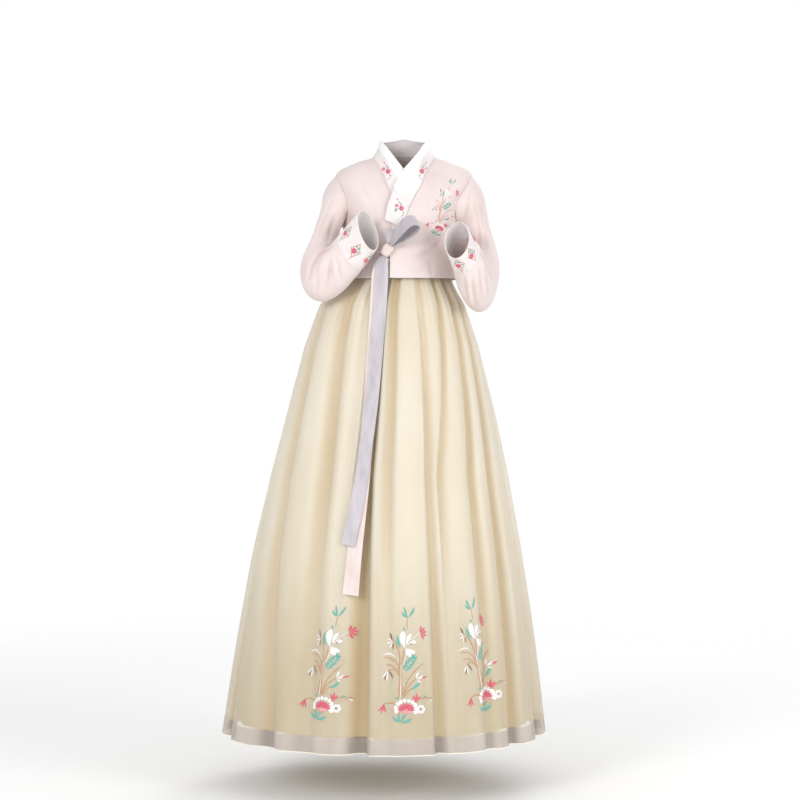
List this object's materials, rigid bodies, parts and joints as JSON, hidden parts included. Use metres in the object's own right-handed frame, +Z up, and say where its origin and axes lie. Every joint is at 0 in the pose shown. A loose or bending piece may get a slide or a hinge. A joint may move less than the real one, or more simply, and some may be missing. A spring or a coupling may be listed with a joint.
{
  "type": "korean hanbok",
  "caption": "Short wrapped jacket with curved sleeves and long ribbon ties over a high-waisted, full-length pleated skirt, in its worn shape.",
  "frame": {"origin": "on the body's axis, level with the shoulder seams beside the collar", "axes": "+Z up, -Y the way the garment faces, +X the wearer's left"},
  "size_m": [0.7144, 0.6691, 1.3204],
  "materials": {
    "pink_cloth": "matt plain weave",
    "white_cloth": "smooth plain weave",
    "grey_cloth": "fine ribbed weave",
    "cream_organza": "sheer crisp organza",
    "cream_lining": "plain lining"
  },
  "bodies": {
    "root": {"back": "pink_cloth", "front_left": "pink_cloth", "front_right": "pink_cloth", "sleeve_left": "pink_cloth", "sleeve_right": "pink_cloth", "cuff_left": "white_cloth", "cuff_right": "white_cloth", "collar": "white_cloth", "collar_strip": "white_cloth", "knot": "pink_cloth", "tie_loop": "grey_cloth", "tie_tail_grey": "grey_cloth", "tie_tail_pink": "pink_cloth", "tie_base_grey": "grey_cloth", "tie_base_pink": "pink_cloth", "skirt_front_left": "cream_organza", "skirt_front_right": "cream_organza", "skirt_back_left": "cream_organza", "skirt_back_right": "cream_organza", "lining_front_left": "cream_lining", "lining_front_right": "cream_lining", "lining_back_left": "cream_lining", "lining_back_right": "cream_lining", "skirt_band": "cream_lining"}
  },
  "joints": []
}
